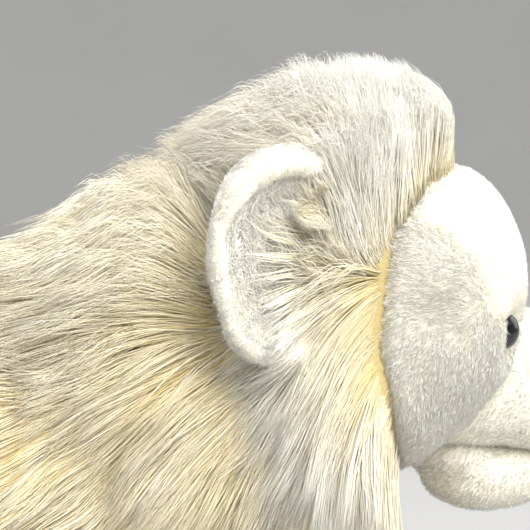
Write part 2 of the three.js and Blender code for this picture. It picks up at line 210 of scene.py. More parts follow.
def star(f, centre, reach, level):
    """A closed triangle mesh of the surface f = 0 round a centre, seen from which the surface is a star shape."""
    import bmesh

    bm = bmesh.new()
    bmesh.ops.create_icosphere(bm, subdivisions=level, radius=1)
    d = unit(np.array([v.co for v in bm.verts], float))
    tri = np.array([[v.index for v in t.verts] for t in bm.faces], int)
    bm.free()
    d = unit(d * arr(*reach))
    lo, hi = np.zeros(len(d)), np.full(len(d), float(np.linalg.norm(reach)) * 1.3)
    c = arr(*centre)
    for _ in range(26):
        mid = (lo + hi) / 2
        inside = f(c + d * mid[:, None]) < 0
        lo, hi = np.where(inside, mid, lo), np.where(inside, hi, mid)
    return settle(f, c + d * ((lo + hi) / 2)[:, None], 3), tri


def tube(rings):
    """A closed mesh through rings (m, n, 3), with a point at each end."""
    m, n = rings.shape[:2]
    v = np.concatenate([rings.reshape(-1, 3), rings[0].mean(0, keepdims=True), rings[-1].mean(0, keepdims=True)])
    i = np.arange(m - 1)[:, None] * n + np.arange(n)
    j = np.arange(m - 1)[:, None] * n + (np.arange(n) + 1) % n
    a, b, c, d = i.ravel(), j.ravel(), (j + n).ravel(), (i + n).ravel()
    k, l = np.arange(n), (np.arange(n) + 1) % n
    top = (m - 1) * n
    tri = np.concatenate([
        np.stack([a, b, c], 1), np.stack([a, c, d], 1),
        np.stack([np.full(n, m * n), l, k], 1), np.stack([np.full(n, m * n + 1), top + k, top + l], 1)])
    vol = np.einsum("ij,ij->i", v[tri[:, 0]], np.cross(v[tri[:, 1]], v[tri[:, 2]])).sum()
    return v, tri if vol > 0 else tri[:, ::-1]


def around(f, path, reach, m, n, steps=5):
    """A tube mesh settled on f = 0 round a path of points."""
    path = np.array(path, float)
    seg = np.r_[0, np.cumsum(np.linalg.norm(np.diff(path, axis=0), axis=1))]
    s = np.linspace(0, seg[-1], m)
    c = np.stack([np.interp(s, seg, path[:, k]) for k in range(3)], 1)
    t = unit(np.gradient(c, axis=0))
    side = unit(np.cross(t, arr(1, 0, 0.001)))
    up = np.cross(t, side)
    a = np.linspace(0, 2 * math.pi, n, endpoint=False)
    d = side[:, None] * np.cos(a)[None, :, None] + up[:, None] * np.sin(a)[None, :, None]
    lo, hi = np.zeros((m, n)), np.full((m, n), float(reach))
    for _ in range(22):
        mid = (lo + hi) / 2
        inside = f((c[:, None] + d * mid[..., None]).reshape(-1, 3)).reshape(m, n) < 0
        lo, hi = np.where(inside, mid, lo), np.where(inside, hi, mid)
    return tube(c[:, None] + d * ((lo + hi) / 2)[..., None])


# ------------------------------------------------------------------ meshes in Blender
def new_mesh(name, v, faces, smooth_faces=True):
    """faces is one array (m, 3) or (m, 4), or a list of such arrays."""
    faces = faces if isinstance(faces, list) else [faces]
    me = bpy.data.meshes.new(name)
    me.vertices.add(len(v))
    me.vertices.foreach_set("co", (np.asarray(v, float) * MM).astype(np.float32).ravel())
    loops = np.concatenate([f.ravel() for f in faces]).astype(np.int32)
    counts = np.concatenate([np.full(len(f), f.shape[1]) for f in faces])
    me.loops.add(len(loops))
    me.loops.foreach_set("vertex_index", loops)
    me.polygons.add(len(counts))
    me.polygons.foreach_set("loop_start", np.r_[0, np.cumsum(counts)[:-1]].astype(np.int32))
    me.polygons.foreach_set("use_smooth", np.full(len(counts), smooth_faces))
    me.update(calc_edges=True)
    ob = bpy.data.objects.new(name, me)
    scene.collection.objects.link(ob)
    return ob


def set_attr(ob, name, values):
    at = ob.data.attributes.new(name, "FLOAT", "POINT")
    at.data.foreach_set("value", np.asarray(values, np.float32))


def vertex_normals(v, tri):
    fn = np.cross(v[tri[:, 1]] - v[tri[:, 0]], v[tri[:, 2]] - v[tri[:, 0]])
    vn = np.zeros_like(v)
    for k in range(3):
        np.add.at(vn, tri[:, k], fn)
    return unit(vn)


# ------------------------------------------------------------------ materials
def principled(name):
    m = bpy.data.materials.new(name)
    m.use_nodes = True
    nt = m.node_tree
    return m, nt, nt.nodes["Principled BSDF"]


def ramp(nt, stops):
    r = nt.nodes.new("ShaderNodeValToRGB")
    e = r.color_ramp.elements
    while len(e) < len(stops):
        e.new(0.5)
    for el, (pos, col) in zip(e, stops):
        el.position, el.color = pos, (*col, 1)
    return r


def fur_material(name, stops, warm, rough=0.6, spec=0.25):
    """Strands coloured along their length, darker and yellower towards the root: painted shade of the pile's depths.
    'tint' is each strand's own random tone; 'warm' pulls it towards a darker yellow: painted shade where it marks seams
    and the ear's hollow, the coat's own yellower tone elsewhere.
    """
    m, nt, bsdf = principled(name)
    along, tint, warmth = (nt.nodes.new("ShaderNodeAttribute") for _ in range(3))
    along.attribute_name, tint.attribute_name, warmth.attribute_name = "along", "tint", "warm"
    r = ramp(nt, stops)
    nt.links.new(along.outputs["Fac"], r.inputs["Fac"])
    mix = nt.nodes.new("ShaderNodeMix")
    mix.data_type = "RGBA"
    nt.links.new(warmth.outputs["Fac"], mix.inputs["Factor"])
    nt.links.new(r.outputs["Color"], mix.inputs["A"])
    mix.inputs["B"].default_value = (*warm, 1)
    hsv = nt.nodes.new("ShaderNodeHueSaturation")
    val = nt.nodes.new("ShaderNodeMapRange")
    val.inputs["To Min"].default_value, val.inputs["To Max"].default_value = 0.95, 1.05
    sat = nt.nodes.new("ShaderNodeMapRange")
    sat.inputs["To Min"].default_value, sat.inputs["To Max"].default_value = 1.35, 0.7
    nt.links.new(tint.outputs["Fac"], val.inputs["Value"])
    nt.links.new(tint.outputs["Fac"], sat.inputs["Value"])
    nt.links.new(val.outputs["Result"], hsv.inputs["Value"])
    nt.links.new(sat.outputs["Result"], hsv.inputs["Saturation"])
    nt.links.new(mix.outputs["Result"], hsv.inputs["Color"])
    nt.links.new(hsv.outputs["Color"], bsdf.inputs["Base Color"])
    bsdf.inputs["Roughness"].default_value = rough
    bsdf.inputs["Specular IOR Level"].default_value = spec
    return m


def cloth_material(name, dark, light, scale=900, bump=0.25, rough=0.9):
    """Knitted backing with a fine nap: two noises for colour, one for relief."""
    m, nt, bsdf = principled(name)
    tc = nt.nodes.new("ShaderNodeTexCoord")
    n1 = nt.nodes.new("ShaderNodeTexNoise")
    n1.inputs["Scale"].default_value, n1.inputs["Detail"].default_value = scale, 4
    n2 = nt.nodes.new("ShaderNodeTexNoise")
    n2.inputs["Scale"].default_value, n2.inputs["Detail"].default_value = 40, 3
    nt.links.new(tc.outputs["Object"], n1.inputs["Vector"])
    nt.links.new(tc.outputs["Object"], n2.inputs["Vector"])
    add = nt.nodes.new("ShaderNodeMath")
    add.operation = "ADD"
    nt.links.new(n1.outputs["Fac"], add.inputs[0])
    nt.links.new(n2.outputs["Fac"], add.inputs[1])
    half = nt.nodes.new("ShaderNodeMath")
    half.operation = "MULTIPLY"
    half.inputs[1].default_value = 0.5
    nt.links.new(add.outputs[0], half.inputs[0])
    r = ramp(nt, [(0.3, dark), (0.7, light)])
    nt.links.new(half.outputs[0], r.inputs["Fac"])
    nt.links.new(r.outputs["Color"], bsdf.inputs["Base Color"])
    b = nt.nodes.new("ShaderNodeBump")
    b.inputs["Strength"].default_value, b.inputs["Distance"].default_value = bump, 0.0006
    nt.links.new(n1.outputs["Fac"], b.inputs["Height"])
    nt.links.new(b.outputs["Normal"], bsdf.inputs["Normal"])
    bsdf.inputs["Roughness"].default_value = rough
    bsdf.inputs["Specular IOR Level"].default_value = 0.15
    return m


def plastic_material(name, dark, light, rough, coat=0.0):
    m, nt, bsdf = principled(name)
    tc = nt.nodes.new("ShaderNodeTexCoord")
    n = nt.nodes.new("ShaderNodeTexNoise")
    n.inputs["Scale"].default_value, n.inputs["Detail"].default_value = 220, 2
    nt.links.new(tc.outputs["Object"], n.inputs["Vector"])
    r = ramp(nt, [(0.35, dark), (0.65, light)])
    nt.links.new(n.outputs["Fac"], r.inputs["Fac"])
    nt.links.new(r.outputs["Color"], bsdf.inputs["Base Color"])
    bsdf.inputs["Roughness"].default_value = rough
    if coat:
        bsdf.inputs["Coat Weight"].default_value = coat
        bsdf.inputs["Coat Roughness"].default_value = 0.03
    return m


OCHRE = (0.60, 0.43, 0.18)
WARM = (0.90, 0.79, 0.50)
CREAM = (0.95, 0.88, 0.67)
WHITE = (0.975, 0.95, 0.85)
# The pile ramps darken and yellow towards the root: painted shade deep in the pile, over the fibres' own cream.
M_LONG = fur_material("long_pile", [(0.0, (0.72, 0.56, 0.29)), (0.05, (0.82, 0.68, 0.38)), (0.16, WARM), (0.36, CREAM), (0.66, WHITE), (1.0, (0.985, 0.972, 0.92))], (0.88, 0.73, 0.39))
M_CROWN = fur_material("crown_pile", [(0.0, (0.91, 0.83, 0.60)), (0.2, (0.955, 0.905, 0.74)), (0.45, (0.977, 0.955, 0.865)), (1.0, (0.985, 0.978, 0.945))], (0.88, 0.73, 0.39))
M_SHORT = fur_material("short_pile", [(0.0, (0.92, 0.87, 0.70)), (0.4, (0.965, 0.945, 0.86)), (1.0, (0.985, 0.98, 0.95))], (0.47, 0.34, 0.11), 0.65, 0.2)
# The long pile's backing is a darker yellow than the pile: painted shade where it shows between the strands.
M_SKIN_LONG = cloth_material("long_pile_backing", (0.76, 0.64, 0.40), (0.90, 0.81, 0.58))
M_SKIN_SHORT = cloth_material("short_pile_backing", (0.90, 0.85, 0.68), (0.96, 0.93, 0.82))
# Dark ochre backing behind the face seam: painted shade in the seam and between the mane's strands.
M_SKIN_SEAM_SHADE = cloth_material("seam_backing_painted_shade", (0.50, 0.39, 0.16), (0.64, 0.53, 0.27))
M_BLACK = plastic_material("black_plastic", (0.003, 0.003, 0.004), (0.006, 0.006, 0.008), 0.10, 0.35)
M_NOSE = plastic_material("nose_plastic", (0.008, 0.007, 0.007), (0.02, 0.018, 0.017), 0.34, 0.3)
M_WHITE_PLASTIC = plastic_material("white_plastic", (0.80, 0.80, 0.78), (0.86, 0.86, 0.84), 0.45)
M_FIBRE = cloth_material("fibre", (0.85, 0.85, 0.85), (0.95, 0.95, 0.95), 500, 0.6)
M_SOLE = cloth_material("sole_suede", (0.74, 0.66, 0.50), (0.86, 0.79, 0.65), 1500, 0.35)
M_LABEL = cloth_material("label_satin", (0.86, 0.86, 0.84), (0.93, 0.93, 0.91), 2500, 0.1, 0.5)
M_THREAD = cloth_material("thread", (0.10, 0.085, 0.07), (0.18, 0.15, 0.12), 2500, 0.3, 0.7)

# ------------------------------------------------------------------ fur
ALL_FUR = []


def roots_on(v, tri, count, rng, weight=None):
    """count points spread over a mesh, evenly or by weight(points), with the normals there."""
    a, b, c = v[tri[:, 0]], v[tri[:, 1]], v[tri[:, 2]]
    area = np.linalg.norm(np.cross(b - a, c - a), axis=1) / 2
    if weight is not None:
        area = area * weight((a + b + c) / 3)
    pick = rng.choice(len(tri), count, p=area / area.sum())
    u, w = rng.uniform(size=(2, count))
    flip = u + w > 1
    u[flip], w[flip] = 1 - u[flip], 1 - w[flip]
    vn = vertex_normals(v, tri)
    k = np.stack([1 - u - w, u, w], 1)
    p = (v[tri[pick]] * k[:, :, None]).sum(1)
    n = unit((vn[tri[pick]] * k[:, :, None]).sum(1))
    return p, n


def grow(p, n, length, aim, segs, lift, lift_end, jitter, rng, droop=0.0, wave=0.0, depth=0.6):
    """Paths (count, segs + 1, 3). aim(points, normals) gives where the coat lies there; lift raises it off the skin."""
    count = len(p)
    path = np.empty((count, segs + 1, 3))
    at = p - n * depth
    path[:, 0] = at
    shake = rng.normal(size=(count, 3)) * jitter
    ph = rng.uniform(0, 2 * math.pi, (count, 1))
    for k in range(segs):
        s = (k + 0.5) / segs
        d = aim(at, n)
        up = (lift * (1 - s) + lift_end * s)
        up = up[:, None] if np.ndim(up) else up
        side = unit(np.cross(d, n))
        d = unit(d + n * up + shake + side * wave * np.sin(ph + 5.0 * s) + arr(0, 0, -1) * droop * s * s)
        at = at + d * (np.asarray(length).reshape(-1, 1) / segs)
        path[:, k + 1] = at
    return path


def clumped(path, guides, roots, guide_roots, pull, power=0.9):
    kd = KDTree(len(guide_roots))
    for i, g in enumerate(guide_roots):
        kd.insert(g, i)
    kd.balance()
    near = np.array([kd.find(r)[1] for r in roots])
    g = guides[near]
    s = np.linspace(0, 1, path.shape[1]) ** power
    c = np.asarray(pull).reshape(-1, 1) if np.ndim(pull) else pull
    return g + (path - g) * (1 - c * s)[..., None] if np.ndim(pull) else g + (path - g) * (1 - pull * s)[None, :, None], near


CELLS = 16  # the bake map holds CELLS x CELLS shades, each a strip from root to tip


def strands(name, path, width, tint, warm, material, body, profile=None, slot="long_pile_fabric"):
    """One mesh of closed, tapering three-sided strands."""
    count, rings = path.shape[0], path.shape[1]
    k = rings - 1  # rings with three corners; the last point is the tip
    t = unit(np.diff(path, axis=1))
    t = np.concatenate([t, t[:, -1:]], 1)
    ref = unit(np.cross(t[:, 0], arr(0.31, 0.52, 0.79)))
    u = unit(ref[:, None] - t * (ref[:, None] * t).sum(-1, keepdims=True))
    w = np.cross(t, u)
    s = np.linspace(0, 1, rings)
    prof = np.interp(s, [0, 0.15, 0.6, 1], [0.75, 1.0, 0.8, 0.0]) if profile is None else profile(s)
    r = np.asarray(width).reshape(-1, 1) / 2 * prof[None, :]
    turn = np.random.default_rng(count).uniform(0, 2 * math.pi, count)
    per = 3 * k + 1
    v = np.empty((count, per, 3))
    for j in range(3):
        a = turn + j * 2 * math.pi / 3
        off = u[:, :k] * np.cos(a)[:, None, None] + w[:, :k] * np.sin(a)[:, None, None]
        v[:, j:3 * k:3] = path[:, :k] + off * r[:, :k, None]
    v[:, 3 * k] = path[:, k]
    base = (np.arange(count) * per)[:, None]
    q = []
    for seg in range(k - 1):
        for j in range(3):
            a, b = seg * 3 + j, seg * 3 + (j + 1) % 3
            q.append([a, b, b + 3, a + 3])
    last = (k - 1) * 3
    tr = [[last + j, last + (j + 1) % 3, 3 * k] for j in range(3)] + [[0, 2, 1]]
    faces = []
    if q:
        faces.append((base[:, :, None] + np.array(q)[None]).reshape(-1, 4))
    faces.append((base[:, :, None] + np.array(tr)[None]).reshape(-1, 3))
    v[..., 2] = np.maximum(v[..., 2], 0.3)
    ob = new_mesh(name, v.reshape(-1, 3), faces)
    # shades are rounded to the map's cells, so that a bake of it is exact
    ct = np.clip((np.asarray(tint) * CELLS).astype(int), 0, CELLS - 1)
    cw = np.clip((np.asarray(warm) * CELLS).astype(int), 0, CELLS - 1)
    along = np.r_[np.repeat(s[:k], 3), 1.0]
    set_attr(ob, "along", np.tile(along, count))
    set_attr(ob, "tint", np.repeat((ct + 0.5) / CELLS, per))
    set_attr(ob, "warm", np.repeat((cw + 0.5) / CELLS, per))
    corner = np.r_[np.tile([0.15, 0.5, 0.85], k), 0.5]
    lu = ((ct[:, None] + corner[None]) / CELLS).ravel()
    lv = ((cw[:, None] + 0.06 + 0.88 * along[None]) / CELLS).ravel()
    idx = np.empty(len(ob.data.loops), np.int32)
    ob.data.loops.foreach_get("vertex_index", idx)
    uv = ob.data.uv_layers.new(name="OFBake", do_init=False)
    uv.uv.foreach_set("vector", np.stack([lu[idx], lv[idx]], 1).astype(np.float32).ravel())
    ob.data.materials.append(material)
    if isinstance(body, str):
        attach(ob, body)
    else:
        a, b, start, end = body
        tuple(x * MM for x in start)
        tuple(x * MM for x in end)
        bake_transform(ob)
    ALL_FUR.append((name, count, len(ob.data.polygons)))
    return ob


def coat(name, p, n, aim, length, width, body, seed, segs=4, lift=0.45, lift_end=0.12, jitter=0.06, droop=0.0,
         wave=0.05, lock=26.0, pull=0.72, guide_jitter=0.13, warm=0.0, material=None, slot="long_pile_fabric", top=False, ears=False, loose_share=0.14):
    """Long pile: strands gathered into tapering locks."""
    rng = np.random.default_rng(seed)
    material = material or M_LONG
    count = len(p)
    length = np.broadcast_to(np.asarray(length, float), count)
    ng = max(count // int(lock), 4)
    gi = rng.choice(count, ng, replace=False)
    lg = length[gi] * rng.uniform(0.82, 1.12, ng)
    lift_g = lift[gi] if np.ndim(lift) else lift
    lift_s = lift
    guides = grow(p[gi], n[gi], lg, aim, segs, lift_g, lift_end, guide_jitter, rng, droop, wave)
    ls = length * rng.uniform(0.72, 1.08, count)
    path = grow(p, n, ls, aim, segs, lift_s, lift_end, jitter, rng, droop, wave * 0.6)
    loose = rng.uniform(size=count) < loose_share
    pl = np.where(loose, 0.15, pull * rng.uniform(0.75, 1.1, count))
    path, near = clumped(path, guides, p, p[gi], pl)
    shade = np.clip(0.5 + 0.22 * n_mid(p) * 0.5 + rng.normal(size=ng)[near] * 0.16 + rng.normal(size=count) * 0.16, 0, 0.999)
    w = np.clip(np.broadcast_to(np.asarray(warm, float), count) + 0.10 * np.maximum(n_coarse(p), 0), 0, 0.999)
    wd = width * rng.uniform(0.7, 1.25, count)
    if ears:
        path = clear_of_ears(path)
    if top:
        path = under_top(path)
    return strands(name, path, wd, shade, w, material, body, slot=slot)


def nap(name, p, n, aim, length, width, body, seed, lift=0.55, jitter=0.16, warm=0.0, material=None, segs=2, shade_shift=0.0,
        slot="short_pile_fabric"):
    """Short pile: single fine hairs that lean with the nap."""
    rng = np.random.default_rng(seed)
    count = len(p)
    ln = np.broadcast_to(np.asarray(length, float), count) * rng.uniform(0.7, 1.15, count)
    path = grow(p, n, ln, aim, segs, lift, lift * 0.45, jitter, rng, depth=0.25)
    streak = n_fine(p * arr(1, 0.5, 0.5)) * 0.10
    shade = np.clip(0.6 + shade_shift + streak + rng.normal(size=count) * (0.16 if segs > 1 else 0.09), 0, 0.999)
    w = np.clip(np.broadcast_to(np.asarray(warm, float), count), 0, 0.999)
    prof = (lambda s: np.interp(s, [0, 0.5, 1], [0.9, 0.8, 0.0]))
    return strands(name, path, width * rng.uniform(0.7, 1.2, count), shade, w, material or M_SHORT, body, prof, slot)


# ------------------------------------------------------------------ where the coat lies
def yz_aim(angle):
    """Unit directions in the side plane: 0 is backwards, 90 is down, -90 is up."""
    a = np.radians(angle)
    return np.stack([np.zeros_like(a), np.cos(a), -np.sin(a)], 1)


def mane_aim(p, n):
    z, y = p[:, 2], p[:, 1]
    near = np.interp(z, [150, 165, 180, 195, 209, 220, 227, 230, 232.5, 238, 244, 262], [86, 80, 68, 56, 43, 31, 18, 2, -35, -60, -80, -85])
    near = near + 16 * smooth(-103, -75, y) * smooth(236, 226, z) * smooth(170, 190, z)
    far = np.interp(z, [140, 165, 190, 210, 225, 240, 255, 275], [54, 44, 34, 20, 0, -22, -42, -58])
    w = smooth(-95, -45, y)
    back_top = smooth(-112, -70, y) * smooth(246, 258, z) * (1 - w)
    d = yz_aim(near * (1 - w) + far * w + 26 * back_top)
    d[:, 0] = np.sign(p[:, 0]) * 0.10 * smooth(215, 170, z)
    return unit(d + 0.05 * np.stack([n_lock(p), n_lock(p + 50), n_lock(p - 50)], 1))


def trunk_aim(p, n):
    z, y = p[:, 2], p[:, 1]
    ang = np.interp(z, [100, 130, 165, 200, 225], [62, 50, 34, 14, -14])
    ang = ang + 22 * smooth(110, 160, y) * smooth(215, 190, z) - 10 * smooth(-10, -50, y) * smooth(190, 215, z)
    d = yz_aim(ang)
    d[:, 0] = np.sign(p[:, 0]) * 0.12 * smooth(205, 215, z)
    return unit(d + 0.08 * np.stack([n_lock(p), n_lock(p + 50), n_lock(p - 50)], 1))


def chest_aim(p, n):
    d = np.tile(arr(0, 0.12, -1), (len(p), 1))
    d[:, 0] = p[:, 0] * 0.006
    return unit(d + 0.08 * np.stack([n_lock(p), n_lock(p + 50), n_lock(p - 50)], 1))


def face_aim(p, n):
    z, y = p[:, 2], p[:, 1]
    ang = np.interp(z, [165, 190, 208, 222, 240, 258], [72, 66, 48, 0, -22, -12])
    d = yz_aim(ang)
    d[:, 0] = np.sign(p[:, 0]) * np.interp(y, [-172, -140], [0.75, 0.1])
    d = d + 0.22 * np.stack([n_mid(p), n_mid(p + 30), n_mid(p - 30)], 1)
    d = d - n * (d * n).sum(1, keepdims=True)
    return unit(d)


def muzzle_aim(p, n):
    d = np.tile(arr(0, 1, -0.15), (len(p), 1))
    d[:, 2] = np.interp(p[:, 2], [175, 200, 212], [-0.8, -0.1, 0.2])
    d[:, 0] = np.sign(p[:, 0]) * 0.5 * smooth(-180, -195, p[:, 1])
    d = d - n * (d * n).sum(1, keepdims=True)
    return unit(d + 1e-3)


def leg_aim(p, n):
    d = np.tile(arr(0, 0.18, -1), (len(p), 1))
    d[:, :2] += 1.2 * n[:, :2] * smooth(92, 106, p[:, 2])[:, None]
    f = smooth(30, 16, p[:, 2]) + smooth(92, 100, p[:, 2])
    low = smooth(30, 16, p[:, 2])
    d[:, 1] -= 1.2 * low
    d[:, 2] += 0.55 * low
    d = d - n * (d * n).sum(1, keepdims=True) * f[:, None]
    return unit(d + 0.05 * np.stack([n_mid(p), n_mid(p + 50), n_mid(p - 50)], 1))


# ------------------------------------------------------------------ camera first, then light
AZ, EL = math.radians(250), math.radians(6)
BACK = Vector((math.sin(AZ) * math.cos(EL), -math.cos(AZ) * math.cos(EL), math.sin(EL)))
TARGET = Vector((0, -0.083, 0.231))
cam_data = bpy.data.cameras.new("camera")
cam_data.lens, cam_data.sensor_width = 100, 36
cam = bpy.data.objects.new("camera", cam_data)
scene.collection.objects.link(cam)
cam.location = TARGET + BACK * 0.486
cam.rotation_mode = "QUATERNION"
cam.rotation_quaternion = (-BACK).to_track_quat("-Z", "Y")
cam_data.clip_start, cam_data.clip_end = 0.01, 30
scene.camera = cam


def area(name, loc, target, size, power, color=(1, 1, 1)):
    d = bpy.data.lights.new(name, "AREA")
    d.shape, d.size, d.energy, d.color = "DISK", size, power, color
    o = bpy.data.objects.new(name, d)
    scene.collection.objects.link(o)
    o.location = loc
    o.rotation_mode = "QUATERNION"
    o.rotation_quaternion = (Vector(target) - Vector(loc)).to_track_quat("-Z", "Y")
    return o


area("key_above", (-0.72, -0.32, 1.12), (0, -0.06, 0.2), 0.9, 17.5, (1.0, 0.99, 0.97))
area("fill_camera_side", (-1.5, 0.3, 0.6), (0, -0.05, 0.2), 1.4, 5, (1.0, 0.992, 0.975))
area("front", (0.2, -1.6, 0.8), (0, -0.05, 0.2), 1.2, 5, (0.99, 0.995, 1.0))
area("far_side", (1.3, 0.5, 0.8), (0, 0, 0.2), 1.2, 8, (1.0, 0.99, 0.975))
scene.view_settings.view_transform = "Standard"
world = bpy.data.worlds.new("world")
scene.world = world
world.use_nodes = True
world.node_tree.nodes["Background"].inputs["Color"].default_value = (0.93, 0.93, 0.92, 1)
world.node_tree.nodes["Background"].inputs["Strength"].default_value = 0.8

# a pale floor that turns up all round into a low backdrop
prof = [(0.02, 0.0), (0.6, 0.0), (1.4, 0.0), (2.4, 0.0)] + [(2.4 + 1.2 * math.sin(t_), 1.2 - 1.2 * math.cos(t_)) for t_ in np.linspace(0.1, math.pi / 2, 14)] + [(3.6, 1.9)]
nf = 96
ca, sa = np.cos(np.linspace(0, 2 * math.pi, nf, endpoint=False)), np.sin(np.linspace(0, 2 * math.pi, nf, endpoint=False))
fv = np.concatenate([np.stack([d * ca, d * sa, np.full(nf, z)], 1) for d, z in prof]) * 1000
i, j = np.arange(nf), (np.arange(nf) + 1) % nf
ff = np.concatenate([np.stack([i, j, j + nf, i + nf], 1) + k * nf for k in range(len(prof) - 1)])
fv = np.concatenate([fv, [[0, 0, 0]]])
floor = new_mesh("floor", fv, [ff[:, ::-1], np.stack([j, i, np.full(nf, len(fv) - 1)], 1)[:, ::-1]])
mf, nt, bs = principled("floor_paper")
tcn, nz = nt.nodes.new("ShaderNodeTexCoord"), nt.nodes.new("ShaderNodeTexNoise")
nz.inputs["Scale"].default_value = 3
nt.links.new(tcn.outputs["Object"], nz.inputs["Vector"])
rp = ramp(nt, [(0.3, (0.55, 0.55, 0.547)), (0.7, (0.57, 0.57, 0.567))])
nt.links.new(nz.outputs["Fac"], rp.inputs["Fac"])
nt.links.new(rp.outputs["Color"], bs.inputs["Base Color"])
bs.inputs["Roughness"].default_value = 0.9
floor.data.materials.append(mf)

# ------------------------------------------------------------------ under-skins
def skin(name, v, tri, material, body, nodes, fibre=None, outward=None):
    """A fabric piece; with fibre, a shell of fabric with its own filling inside, which stands for the CAD's filling."""
    if fibre:
        vn = vertex_normals(v, tri) if outward is None else outward
        core = new_mesh(name.replace("fabric", "filling"), v - vn * 2.6, tri)
        core.data.materials.append(M_FIBRE)
        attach(core, body)
        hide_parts(fibre)
        v, tri = np.concatenate([v, v - vn * 2.0]), np.concatenate([tri, tri[:, ::-1] + len(v)])
    ob = new_mesh(name, v, tri)
    ob.data.materials.append(material)
    if isinstance(body, str):
        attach(ob, body)
    else:
        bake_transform(ob)
    if nodes:
        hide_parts(*nodes)
    return ob


def part_of(v, tri, keep, thick=2.0, normals=None):
    """The triangles whose middles are kept, made into a closed panel of that thickness."""
    vn = vertex_normals(v, tri) if normals is None else normals
    mid = v[tri].mean(1)
    t = tri[keep(mid)]
    used, inv = np.unique(t, return_inverse=True)
    t = inv.reshape(-1, 3)
    p = v[used]
    q = p - vn[used] * thick
    n = len(p)
    e = np.concatenate([t[:, [0, 1]], t[:, [1, 2]], t[:, [2, 0]]])
    key = {}
    es = np.sort(e, 1)
    code = es[:, 0].astype(np.int64) * n + es[:, 1]
    _, first, cnt = np.unique(code, return_index=True, return_counts=True)
    rim = e[first[cnt == 1]]
    walls = np.concatenate([np.stack([rim[:, 1], rim[:, 0], rim[:, 0] + n], 1), np.stack([rim[:, 1], rim[:, 0] + n, rim[:, 1] + n], 1)])
    return np.concatenate([p, q]), np.concatenate([t, t[:, ::-1] + n, walls]), (p, t)


HV, HT = star(head_f, (0, -118, 208), (50, 50, 48), 6)
HN = vertex_normals(HV, HT)


def seam_y(z):
    """Where long pile meets short pile, in Y, by height."""
    return np.interp(z, [150, 168, 186, 209, 220, 232, 241, 249, 257.5, 264.5, 270], [-121, -117, -108.6, -104, -105.5, -107.5, -109.5, -113, -123, -146, -149])


def brow_y(z):
    """The brow seam between forehead and cheek, in Y, by height."""
    return np.interp(z, [205, 212.3, 217.2, 225, 234.7, 245, 253], [-158, -153.5, -145, -141.5, -135.7, -123, -110])


def is_back(p):
    return p[:, 1] > seam_y(p[:, 2])


def is_forehead(p):
    return (~is_back(p)) & (p[:, 2] > 211) & ((p[:, 1] < brow_y(p[:, 2])) | (p[:, 2] > 253))


def is_cheek(p):
    return ~is_back(p) & ~is_forehead(p)


# seams pull the skin in
def groove(v, n, dist, width, depth):
    return v - n * (depth * np.exp(-((dist / width) ** 2)))[:, None]


slope = np.abs(seam_y(HV[:, 2] + 2) - seam_y(HV[:, 2] - 2)) / 4
dist_face = np.abs(HV[:, 1] - seam_y(HV[:, 2])) / np.sqrt(1 + slope**2)
HV = groove(HV, HN, dist_face, 1.9, 1.8)
dist_brow = np.where((HV[:, 2] > 210) & (HV[:, 2] < 253) & (HV[:, 1] < seam_y(HV[:, 2])), np.abs(HV[:, 1] - brow_y(HV[:, 2])), 99)
HV = groove(HV, HN, dist_brow * 0.7, 1.7, 1.0)
HN = vertex_normals(HV, HT)
hi_noise = Noise(11, 26)
HV = HV + HN * (0.35 * hi_noise(HV))[:, None]

pv, pt, back_src = part_of(HV, HT, is_back)
# The backing behind the seam is dark ochre: painted shade.
skin("head_back_fabric", pv, pt, M_SKIN_SEAM_SHADE, "head", ["back_of_head_skin"])
pv, pt, fore_src = part_of(HV, HT, is_forehead)
skin("forehead_fabric", pv, pt, M_SKIN_SHORT, "head", ["forehead_panel"])
pv, pt, cr_src = part_of(HV, HT, lambda m: is_cheek(m) & (m[:, 0] < 0))
skin("cheek_fabric_right", pv, pt, M_SKIN_SHORT, "head", ["cheek_panel_right"])
pv, pt, cl_src = part_of(HV, HT, lambda m: is_cheek(m) & (m[:, 0] >= 0))
skin("cheek_fabric_left", pv, pt, M_SKIN_SHORT, "head", ["cheek_panel_left"])

core = new_mesh("head_filling", HV - HN * 2.7, HT)
core.data.materials.append(M_FIBRE)
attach(core, "head")
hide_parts("head_stuffing")

MV, MT = star(muzzle_f, (0, -163, 193), (27, 34, 20), 5)
skin("muzzle_fabric", MV, MT, M_SKIN_SHORT, "head", ["muzzle_skin"], fibre="muzzle_stuffing")
JV, JT = star(jaw_f, (0, -160, 156), (18, 24, 12), 5)
skin("jaw_fabric", JV, JT, M_SKIN_SHORT, "head", ["lower_jaw"])

NV, NT = star(neck_f, (0, -58, 192), (48, 48, 46), 5)
skin("neck_fabric", NV, NT, M_SKIN_LONG, "neck", ["neck_skin"], fibre="neck_stuffing")

TV, TT = around(trunk_f, [(0, -112.5, 124), (0, -104, 127), (0, -92, 130), (0, -50, 152), (0, 0, 161), (0, 100, 157), (0, 150, 161), (0, 168.5, 168)], 90, 150, 96)
skin("trunk_fabric", TV, TT, M_SKIN_LONG, "torso", ["body_skin"], fibre="body_stuffing", outward=unit(gradient(trunk_f, TV)))

LEGS = {}
for key, at, hind in (("front_leg", FRONT_LEG, False), ("hind_leg", HIND_LEG, True)):
    for side, sx in (("right", 1), ("left", -1)):
        f = leg_f((at[0] * sx, at[1]), hind)
        x, y = -at[0] * sx, at[1]
        v, t = around(f, [(x, y - 5, 2.7), (x, y - 4, 20), (x, y, 40), (x, y, 112)], 60, 110, 72)
        LEGS[key, side] = (v, t, x, y)
        skin(f"{key}_fabric_{side}", v, t, M_SKIN_SHORT, f"{key}_{side}", [f"{key}_skin_{side}"], fibre=f"{key}_stuffing_{side}")

